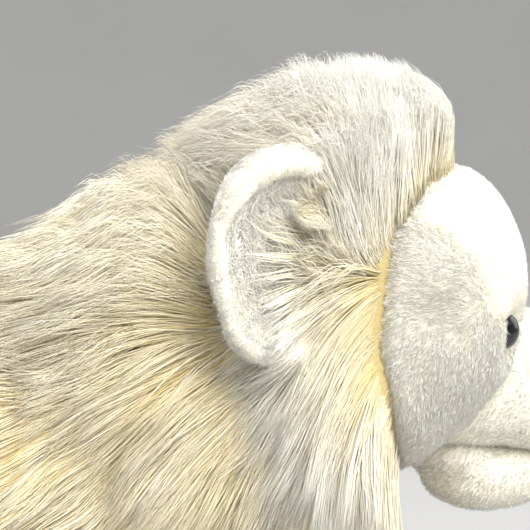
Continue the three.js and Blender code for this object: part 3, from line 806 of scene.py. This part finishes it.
# tail core
tp = np.array([(0, y, z) for y, z, r in TAIL], float)
tr_ = np.array([r for *_, r in TAIL], float)
seg = np.r_[0, np.cumsum(np.linalg.norm(np.diff(tp, axis=0), axis=1))]
ss = np.linspace(0, seg[-1], 60)
tc_ = np.stack([np.interp(ss, seg, tp[:, k]) for k in range(3)], 1)
for _ in range(6):
    tc_[1:-1] = (tc_[:-2] + tc_[1:-1] * 2 + tc_[2:]) / 4
rr = np.interp(ss, seg, tr_)
tt = unit(np.gradient(tc_, axis=0))
sd = np.cross(tt, arr(1, 0, 0))
aa = np.linspace(0, 2 * math.pi, 40, endpoint=False)
rings = tc_[:, None] + rr[:, None, None] * (sd[:, None] * np.cos(aa)[None, :, None] + arr(1, 0, 0) * np.sin(aa)[None, :, None])
TLV, TLT = tube(rings)
skin("tail_fabric", TLV, TLT, M_SKIN_LONG, "tail", ["tail_skin"], fibre="tail_stuffing")

# ------------------------------------------------------------------ the ears' frame: a runs along the leaf, b up it, n out of the cup
EAR_ROOT = arr(-35, -93, 241)
ea = unit(arr(-0.50, 0.86, -0.08))
en = unit(np.cross(ea, arr(0.26, 0.02, 0.96)))
en = en if en[0] < 0 else -en
eb = unit(np.cross(en, ea))
eb = eb if eb[2] > 0 else -eb
CUP = arr(24, 1, -5.2)  # the bottom of the bowl
RIM_PTS = np.array([
    (-3.0, 14, 6.0), (-3.0, 21, 5.6), (3.1, 26.5, 5), (10.6, 30.4, 4.5), (15.4, 31.7, 3.5), (24.7, 31.8, 2.5), (33.4, 29.8, 1.5), (40.3, 26.4, 1),
    (44.8, 22.2, 0.5), (49.6, 15.6, 0), (53.6, 9.3, -0.5), (55.2, 4.6, -1), (55.6, -0.6, -1.5), (54.6, -7.2, -2.5), (52.6, -12.2, -3.6), (52.8, -17, -3.8),
    (50.8, -22, -4), (46.6, -26.5, -4.2), (39, -30.3, -4), (28, -31, -3), (15, -28, -2), (5, -20, 0), (0, -10, 1), (-2.5, 0, 2), (-3.2, 8, 4.2)], float)
_c = np.concatenate([RIM_PTS, RIM_PTS[:1]])
_s = np.r_[0, np.cumsum(np.linalg.norm(np.diff(_c, axis=0), axis=1))]
_t = np.linspace(0, _s[-1], 121)[:-1]
RIM = np.stack([np.interp(_t, _s, _c[:, k]) for k in range(3)], 1)
for _ in range(4):
    RIM = (np.roll(RIM, 1, 0) + 2 * RIM + np.roll(RIM, -1, 0)) / 4
_a = np.arctan2(RIM[:, 1] - CUP[1], RIM[:, 0] - CUP[0])
RIM_T = 2.5 + 2.3 * smooth(0.35, 1.0, np.sin(_a)) * smooth(-6, 8, RIM[:, 0])  # half the rim's thickness: padded at the top


def clear_of_ears(path):
    """Keeps strands of the coat from passing through the leaves: those from behind stay behind, those from in front stay in front."""
    s_ = np.where(path[:, :1, 0] > 0, -1.0, 1.0)
    q = path.copy()
    q[..., 0] *= s_
    w = q - EAR_ROOT
    a, b, h = w @ ea, w @ eb, w @ en
    ang = np.arctan2(b - CUP[1], a - CUP[0])
    order = np.argsort(_a)
    R = np.interp(ang, _a[order], np.hypot(RIM[:, 0] - CUP[0], RIM[:, 1] - CUP[1])[order], period=2 * math.pi)
    H = np.interp(ang, _a[order], RIM[order, 2], period=2 * math.pi)
    rho = np.hypot(a - CUP[0], b - CUP[1]) / R
    leaf = CUP[2] + (H - CUP[2]) * np.minimum(rho, 1.1) ** 2.3
    inside = smooth(1.22, 0.98, rho)
    front = (a[:, 0] < 3.4) | (h[:, 0] > leaf[:, 0] + 1)
    up = np.maximum(leaf + 4.0 - h, 0) * inside
    down = np.maximum(h - (leaf - 5.5), 0) * inside
    move = np.where(front[:, None], up, -down)
    move[:, 0] = 0
    q = q + move[..., None] * en
    q[..., 0] *= s_
    return q


# ------------------------------------------------------------------ long coat
rng = np.random.default_rng(101)


def take(v, tri, count, seed, keep, weight=None):
    p, n = roots_on(v, tri, count, np.random.default_rng(seed), weight)
    m = keep(p)
    return p[m], n[m]


TOP_Y = [-147.5, -143.4, -137.8, -128.5, -110.4, -92.9, -79.1, -68.9, -55.5, -42.3, -26.2, -16.6, -0.9, 20, 60, 120]
TOP_Z = [285, 291, 296, 299, 301.5, 297.5, 290.5, 285, 278, 270, 259, 251, 243, 238, 235, 235]


def under_top(path, soft=9.0):
    """The coat's outline seen from the side, rounded across, its tips at uneven heights."""
    count = path.shape[0]
    ragged = (np.random.default_rng(count).uniform(-6, 1.5, count) + 2.2 * n_fine(path[:, 0]))[:, None]
    x = np.abs(path[..., 0])
    ym = np.interp(path[..., 2], [262, 270, 280, 288, 295, 300], [-150, -148.5, -148, -144, -138.5, -129]) + 0.38 * np.maximum(x - 6, 0) - 0.25 * ragged + 1.8
    y = path[..., 1]
    path[..., 1] = np.where((y < ym + 5) & (path[..., 2] > 258), ym + 5 - 5 * np.tanh((ym + 5 - y) / 5), y)
    zm = np.minimum(np.interp(path[..., 1], TOP_Y, TOP_Z) - 1.4 - 0.009 * x**2 + ragged, 301.4)
    z = path[..., 2]
    path[..., 2] = np.where(z > zm - soft, zm - soft + soft * np.tanh((z - zm + soft) / soft), z)
    return path


# crown: the upright coat from ear to ear
for side, sx, cnt, wd in (("right", -1, 7000, 0.30), ("left", 1, 3400, 0.44)):
    for part, y0, y1 in (("front", -160, -112), ("rear", -112, -64)):
        p, n = take(HV, HT, 60000, 21 + sx, lambda p: (p[:, 1] > seam_y(p[:, 2]) - 1.0 - 2.2 * smooth(240, 248, p[:, 2])) & (p[:, 2] > 231) & (p[:, 1] >= y0) & (p[:, 1] < y1) & (p[:, 0] * sx > 0),
                    lambda m: ((m[:, 2] > 227) & (m[:, 1] > seam_y(m[:, 2]) - 5) & (m[:, 1] > y0 - 4) & (m[:, 1] < y1 + 4) & (m[:, 0] * sx > -2)) * 1.0)
        sel = np.random.default_rng(5).permutation(len(p))[:cnt]
        p, n = p[sel], n[sel]
        a, b, h = (mirrored(p) - EAR_ROOT) @ ea, (mirrored(p) - EAR_ROOT) @ eb, (mirrored(p) - EAR_ROOT) @ en
        m = ~((a > 3.0) & (a < 7) & (b > -14) & (b < 25) & (h > -7))
        p, n = p[m], n[m]
        ln = np.interp(p[:, 1], [-146, -134, -110, -85, -62], [33, 38, 46, 52, 52]) * np.interp(p[:, 2], [231, 238, 244, 262], [0.40, 0.6, 0.9, 1.0])
        ln = ln * np.random.default_rng(77).uniform(0.86, 1.05, len(p))
        # warm: yellower near the face seam, painted shade in its crease; yellower towards the back of the crown.
        coat(f"coat_crown_{part}_{side}", p, n, mane_aim, ln, wd, "head", 31 + sx + 7 * (part == "rear"), segs=5, lift=0.22, lift_end=0.0, pull=0.52, guide_jitter=0.15, jitter=0.09, wave=0.10, lock=16,
             top=True, ears=True, loose_share=0.28, material=M_CROWN, warm=0.24 * smooth(8, 0, np.abs(p[:, 1] - seam_y(p[:, 2]))) * smooth(246, 236, p[:, 2]) + 0.16 * smooth(-112, -80, p[:, 1]))

# mane on the head behind the face seam
for side, sx, cnt, wd in (("right", -1, 9400, 0.31), ("left", 1, 6000, 0.46)):
    for part, lo_, hi_ in (("upper", 198, 232), ("lower", 140, 198)):
        p, n = take(HV, HT, 70000, 22 + sx, lambda p: (p[:, 1] > seam_y(p[:, 2]) - 0.8) & (p[:, 2] <= hi_) & (p[:, 2] > lo_) & (p[:, 0] * sx > 0) & (p[:, 1] < -70),
                    lambda m: ((m[:, 1] > seam_y(m[:, 2]) - 3) & (m[:, 0] * sx > -2) & (m[:, 2] < hi_ + 4) & (m[:, 2] > lo_ - 4)) * 1.0)
        sel = np.random.default_rng(6 + sx).permutation(len(p))[: cnt * 3 // 4]
        p, n = p[sel], n[sel]
        ln = np.interp(p[:, 2], [150, 175, 205, 224, 229, 233], [44, 54, 57, 54, 46, 30])
        near = smooth(9, 0, np.abs(p[:, 1] - seam_y(p[:, 2])))
        # warm: yellower in the lower mane and yellower still near the face seam, painted shade in its crease.
        coat(f"coat_mane_{part}_{side}", p, n, mane_aim, ln, wd, ("neck", "head", (0, -50, 198), (0, -108, 198)), 40 + sx, segs=5,
             lift=0.40, lift_end=0.0, pull=0.74, droop=0.12, material=M_LONG if part == "upper" else M_CROWN, warm=(0.05 if part == "upper" else 0.13) + (0.26 * smooth(212, 228, p[:, 2]) + 0.03) * near, lock=24, guide_jitter=0.10, ears=True)

# neck
for side, sx, cnt, wd in (("right", -1, 7000, 0.32), ("left", 1, 3500, 0.5)):
    for part, z0, z1 in (("upper", 197, 260), ("lower", 100, 197)):
        p, n = take(NV, NT, 60000, 24 + sx, lambda p: (p[:, 0] * sx > 0) & (p[:, 1] > -96) & (head_f(p) > 0.5) & (p[:, 2] >= z0) & (p[:, 2] < z1))
        sel = np.random.default_rng(8 + sx).permutation(len(p))[:cnt]
        p, n = p[sel], n[sel]
        ln = np.interp(p[:, 2], [150, 175, 205, 230, 242], [42, 47, 46, 48, 52])
        coat(f"coat_neck_{part}_{side}", p, n, mane_aim, ln, wd, ("torso", "neck", (0, -10, 190), (0, -60, 195)), 50 + sx + 5 * (part == "lower"), segs=5,
             lift=np.interp(p[:, 2], [215, 238], [0.38, 0.78]), lift_end=0.05, pull=0.64, droop=0.06, warm=np.interp(p[:, 2], [175, 205, 236], [0.36, 0.42, 0.18]), lock=20,
             ears=True, top=True, loose_share=0.26)

# trunk
for side, sx, cnt in (("right", -1, 8600), ("left", 1, 5200)):
    for part, y0, y1 in (("front", -70, 42), ("rear", 42, 200)):
        p, n = take(TV, TT, cnt * 5, 26 + sx, lambda p: (p[:, 0] * sx > 0) & (p[:, 1] > y0) & (p[:, 1] <= y1) & (neck_f(p) > 1))
        sel = np.random.default_rng(7 + sx).permutation(len(p))[:cnt if part == "front" else cnt * 3 // 4]
        p, n = p[sel], n[sel]
        ln = np.interp(p[:, 2], [95, 115, 150, 200, 220], [20, 27, 31, 29, 27])
        coat(f"coat_trunk_{part}_{side}", p, n, trunk_aim, ln, 0.46 if sx < 0 else 0.56, "torso", 60 + sx + 5 * (part == "rear"), segs=4, lift=0.40, lift_end=0.05, pull=0.66, droop=0.05, warm=np.interp(p[:, 2], [150, 195, 216], [0.34, 0.38, 0.20]), lock=20, top=True)

# chest
p, n = take(TV, TT, 22000, 29, lambda p: (p[:, 1] < -58) & (neck_f(p) > 1))
sel = np.random.default_rng(9).permutation(len(p))[:6000]
p, n = p[sel], n[sel]
coat("coat_chest", p, n, chest_aim, np.interp(p[:, 2], [95, 130, 170], [22, 32, 36]), 0.5, "torso", 71, segs=4, lift=0.35, pull=0.76, warm=0.12)

# legs
for (key, side), (v, t, x, y) in LEGS.items():
    p, n = take(v, t, 9500, 80 + len(key) + (side == "left"), lambda p: (p[:, 2] > 22) & (p[:, 2] < 118), lambda m: 1 + 1.6 * smooth(80, 100, m[:, 2]))
    ln = np.interp(p[:, 2], [22, 40, 60, 95, 112], [6, 11, 16, 22, 24])
    coat(f"coat_{key}_{side}", p, n, leg_aim, ln, 0.5, f"{key}_{side}", 90 + len(key) + (side == "left"), segs=3, lift=0.35, lift_end=0.1, pull=0.62, warm=0.24, lock=18)
    p, n = take(v, t, 12000, 85 + len(key) + (side == "left"), lambda p: (p[:, 2] < 34) & (p[:, 2] > 4))
    nap(f"nap_{key}_{side}", p, n, leg_aim, 4.2, 0.36, f"{key}_{side}", 95 + len(key) + (side == "left"), segs=1, slot="long_pile_fabric")


# tail
def tail_aim(p, n):
    d = ((p[:, None] - tc_[None]) ** 2).sum(2).argmin(1)
    out = unit(p - tc_[d])
    return unit(tt[d] * 1.0 + out * 0.32 + arr(0, 0.05, -0.34))


p, n = take(TLV, TLT, 12000, 33, lambda p: (p[:, 1] > 152) | (p[:, 2] > 206))
coat("coat_tail", p, n, tail_aim, np.interp(p[:, 2], [200, 240, 265], [20, 26, 17]), 0.5, "tail", 72, segs=3, lift=0.55, lift_end=0.15, pull=0.62, warm=0.08, lock=16)

# ------------------------------------------------------------------ short pile of the face
def near_eye(p, r):
    return ((mirrored(p) - EYE) ** 2).sum(1) < r * r


def on_patch(src, count, seed, keep=None):
    p, n = roots_on(src[0], src[1], count, np.random.default_rng(seed))
    m = ~near_eye(p, 6.7) & (muzzle_f(p) > -0.5) & (jaw_f(p) > -0.5)
    if keep is not None:
        m &= keep(p)
    return p[m], n[m]


# Darker yellow along the face seam, fainter along the brow seam: painted shade in the seams' grooves.
def seam_painted_shade(p):
    x = 0.85 * np.exp(-(((p[:, 1] - seam_y(p[:, 2])) / 1.3) ** 2)) * smooth(244, 232, p[:, 2])
    y = 0.20 * np.exp(-(((p[:, 1] - brow_y(p[:, 2])) / 2.6) ** 2)) * (p[:, 2] > 211) * (p[:, 2] < 253)
    return np.maximum(x, y)


for nm, src, cnt, sd_ in (("forehead", fore_src, 48000, 1), ("cheek_right", cr_src, 19500, 2), ("cheek_right_low", cr_src, 19500, 4), ("cheek_left", cl_src, 17000, 3)):
    p, n = on_patch(src, cnt, 110 + sd_)
    e = np.linalg.norm(mirrored(p) - EYE, axis=1)
    near = np.interp(e, [6, 14], [0.45, 1.0])
    if nm == "forehead":
        # longer where it meets the crown, so that the two piles run together
        edge = np.interp(np.abs(p[:, 1] - seam_y(p[:, 2])), [0, 7], [2.2, 1.0])
        nap("nap_" + nm, p, n, face_aim, 1.8 * near * edge, 0.27, "head", 120 + sd_, lift=0.42, segs=1, warm=seam_painted_shade(p), shade_shift=0.15)
    else:
        nap("nap_" + nm, p, n, face_aim, np.interp(p[:, 2], [165, 200, 230], [4.8, 4.4, 3.6]) * near, 0.22 if sd_ in (2, 4) else 0.34, "head", 120 + sd_, lift=0.38,
            warm=seam_painted_shade(p), shade_shift=0.06)
p, n = roots_on(MV, MT, 26000, np.random.default_rng(114))
m = (head_f(p) > 0.6) & (jaw_f(p) > -0.5) & (np.linalg.norm((p - NOSE) / arr(12.5, 9, 9), axis=1) > 1.0)
nap("nap_muzzle", p[m], n[m], muzzle_aim, 2.6, 0.32, "head", 124, lift=0.4, shade_shift=0.05)
p, n = roots_on(JV, JT, 10000, np.random.default_rng(115))
m = (head_f(p) > 0.6) & (muzzle_f(p) > -0.3)
nap("nap_jaw", p[m], n[m], muzzle_aim, 3.0, 0.34, "head", 125, lift=0.4, shade_shift=-0.05)

# ------------------------------------------------------------------ ears
def ear_rings(stations, side):
    """Rings round the leaf. A station is ("in", rho, height) or ("arc", degrees): 0 is the outer edge, 90 the front, -90 the back."""
    rings = []
    rad = unit(RIM[:, :2] - CUP[:2])
    mid = np.column_stack([RIM[:, :2] - rad * RIM_T[:, None], RIM[:, 2]])
    if side == "left":  # the far leaf is pressed a little flatter
        mid[:, 1] *= 0.90
    for kind, x, *y in stations:
        if kind == "in":
            ab = CUP[:2] + (mid[:, :2] - CUP[:2]) * x
            h = CUP[2] + (mid[:, 2] - CUP[2]) * x**2.3 + y[0]
        else:
            c, s_ = math.cos(math.radians(x)), math.sin(math.radians(x))
            ab = mid[:, :2] + rad * (RIM_T * c)[:, None]
            h = mid[:, 2] + RIM_T * s_ * 0.9
        p = EAR_ROOT + ab[:, :1] * ea + ab[:, 1:2] * eb + h[:, None] * en
        rings.append(p if side == "right" else p * arr(-1, 1, 1))
    return np.array(rings)


def sub_mesh(v, t, m, n, lo, hi):
    """The triangles between rings lo and hi of a tube."""
    ring = (np.arange(2 * (m - 1) * n) % ((m - 1) * n)) // n
    return v, t[: len(ring)][(ring >= lo) & (ring < hi)]


def ear_coords(p):
    q = mirrored(p.reshape(-1, 3)) - EAR_ROOT
    return q @ ea, q @ eb, q @ en


def ear_aim(p, n):
    a, b, h = ear_coords(p)
    s_ = np.sign(p[:, 0])
    # the nap runs outwards from the root
    d = ((a - 2)[:, None] * ea + (b + 10)[:, None] * eb) * np.stack([-s_, np.ones_like(s_), np.ones_like(s_)], 1)
    d = unit(d) + 0.35 * np.stack([n_fine(p), n_fine(p + 30), n_fine(p - 30)], 1)
    return unit(d - n * (d * n).sum(1, keepdims=True))


B_ST = [("in", x, -1.8 - 0.6 * x) for x in (0.03, 0.2, 0.4, 0.6, 0.76, 0.88, 0.95)] + [("arc", float(x)) for x in range(-95, 176, 15)]
B_OUT = len(B_ST)
B_ST += [("in", x, -0.9) for x in (0.93, 0.8, 0.6, 0.4, 0.2, 0.03)]
L_ST = [("in", x, -0.5) for x in (0.03, 0.2, 0.4, 0.6, 0.8, 0.9)]
L_TOP = len(L_ST)
L_ST += [("in", 0.945, 0.2), ("in", 0.95, 1.0), ("in", 0.93, 1.9), ("in", 0.89, 2.4), ("in", 0.82, 2.3), ("in", 0.72, 1.6), ("in", 0.6, 1.0), ("in", 0.45, 0.6), ("in", 0.3, 0.5), ("in", 0.15, 0.5), ("in", 0.03, 0.5)]
for side, sx in (("right", -1), ("left", 1)):
    near = side == "right"
    r = ear_rings(B_ST, side)
    v, t = tube(r)
    skin(f"ear_back_fabric_{side}", v, t, M_SKIN_SHORT, f"ear_{side}", [f"ear_back_{side}"])
    src = sub_mesh(v, t, len(B_ST), len(RIM), 0, B_OUT - 1)
    p, n = roots_on(*src, 42000 if near else 20000, np.random.default_rng(130 + sx))
    nap(f"nap_ear_back_{side}", p, n, ear_aim, 2.3, 0.26 if near else 0.36, f"ear_{side}", 132 + sx, lift=0.5, segs=1, shade_shift=0.2, slot="long_pile_fabric")
    r = ear_rings(L_ST, side)
    v, t = tube(r)
    skin(f"ear_lining_fabric_{side}", v, t, M_SKIN_SHORT, f"ear_{side}", [f"ear_lining_{side}"])
    src = sub_mesh(v, t, len(L_ST), len(RIM), L_TOP, len(L_ST) - 1)
    p, n = roots_on(*src, 19500 if near else 11000, np.random.default_rng(134 + sx))
    a, b, h = ear_coords(p)
    # The lining's nap turns yellower towards the bowl's hollow: painted shade. Its shade_shift of 0.3 lightens it all
    # over: painted light against the bowl's shade.
    hollow_shade = np.exp(-(((a - 18) / 14) ** 2 + ((b + 6) / 15) ** 2))
    rho = np.hypot(a - CUP[0], b - CUP[1]) / 30
    nap(f"nap_ear_lining_{side}", p, n, ear_aim, np.interp(rho, [0.5, 0.9], [3.9, 2.4]), 0.27 if near else 0.36, f"ear_{side}", 136 + sx, lift=0.55,
        jitter=0.30, warm=0.26 * hollow_shade, shade_shift=0.3)


# tufts at the ear's root
def tuft_aim(p, n):
    s_ = -np.sign(p[:, 0])
    d = np.tile(arr(-0.10, 0.80, 0.42), (len(p), 1))
    d[:, 0] *= s_
    return unit(d + 0.42 * np.stack([n_mid(p * 1.6), n_mid(p * 1.6 + 30), n_mid(p * 1.6 - 30)], 1))


for side, sx in (("right", -1), ("left", 1)):
    r = np.random.default_rng(140 + sx)
    m_ = 3800
    a, b = r.normal(size=m_) * 4.0 + 1.5, r.uniform(-17, 12, m_)
    p = EAR_ROOT + a[:, None] * ea + b[:, None] * eb + (2.0 + r.uniform(-1, 1, m_))[:, None] * en
    p[:, 0] -= 2.5
    n = np.tile(en, (m_, 1))
    if side == "left":
        p, n = p * arr(-1, 1, 1), n * arr(-1, 1, 1)
    coat(f"coat_ear_root_{side}", p, n, tuft_aim, 17 * r.uniform(0.6, 1.25, m_), 0.25, f"ear_{side}", 142 + sx, segs=5, lift=0.55, lift_end=-0.1, wave=0.4, pull=0.55, warm=0.30, lock=13, material=M_CROWN)


# ------------------------------------------------------------------ eyes and nose
def lathe_mesh(name, profile, centre, axis, squash=(1, 1), seg=48):
    z = Vector(axis).normalized()
    x = z.orthogonal().normalized()
    if abs(z.z) < 0.9:
        x = Vector((0, 0, 1)).cross(z).normalized()
    y = z.cross(x)
    a = np.linspace(0, 2 * math.pi, seg, endpoint=False)
    rings = []
    for r, h in profile:
        ring = np.array(centre) + np.outer(np.cos(a) * r * squash[0], np.array(x)) + np.outer(np.sin(a) * r * squash[1], np.array(y)) + h * np.array(z)
        rings.append(ring)
    v, t = tube(np.array(rings))
    return new_mesh(name, v, t)


dome = [(0.05, -15), (2.2, -15), (2.2, -1.6), (5.4, -1.6), (6.0, -1.2), (6.15, -0.5)] + [(6.1 * math.cos(a), 4.7 * math.sin(a)) for a in np.linspace(0.02, math.pi / 2 - 0.01, 16)]
for side, sx in (("right", 1), ("left", -1)):
    c, d = EYE * arr(sx, 1, 1), EYE_DIR * arr(sx, 1, 1)
    o = lathe_mesh(f"eye_{side}_bead", dome, c, d)
    o.data.materials.append(M_BLACK)
    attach(o, "head")
    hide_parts(f"eye_{side}")

nose_prof = [(0.05, -12), (2.4, -12), (2.4, -2.5), (10.5, -2.5), (11.8, -1.5), (12.2, 0)] + [(12.2 * math.cos(a), 5.8 * math.sin(a)) for a in np.linspace(0.03, math.pi / 2 - 0.02, 14)]
o = lathe_mesh("nose_button", nose_prof, NOSE + arr(0, -1.5, 0), (0, -1, 0.12), (1, 0.74), 64)
co = np.array([v.co for v in o.data.vertices]) / MM
q = co - NOSE
wide = 1 + 0.012 * (q[:, 2])            # narrower below
front = smooth(-2, -6, q[:, 1])
nostril = np.exp(-(((np.abs(q[:, 0]) - 5.0) / 1.9) ** 2 + ((q[:, 2] + 1.2) / 1.6) ** 2))
co[:, 0] = q[:, 0] * wide
co[:, 1] += 1.9 * nostril * front + 0.8 * np.exp(-((q[:, 0] / 0.8) ** 2)) * front * (q[:, 2] < 1)
o.data.vertices.foreach_set("co", (co * MM).astype(np.float32).ravel())
o.data.update()
o.data.materials.append(M_NOSE)
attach(o, "head")
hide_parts("nose")

# ------------------------------------------------------------------ CAD nodes that stay
for name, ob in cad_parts.items():
    mat = None
    if "stuffing" in name:
        mat = M_FIBRE
    elif "washer" in name:
        mat = M_WHITE_PLASTIC
    elif "paw_sole" in name:
        mat = M_SOLE
    elif name == "care_label":
        mat = M_LABEL
    if mat is not None:
        for i in range(max(1, len(ob.material_slots))):
            if ob.material_slots:
                ob.material_slots[i].material = mat
            else:
                ob.data.materials.append(mat)

for row in ALL_FUR:
    print("FUR", *row)
print("FUR total faces", sum(r[2] for r in ALL_FUR))
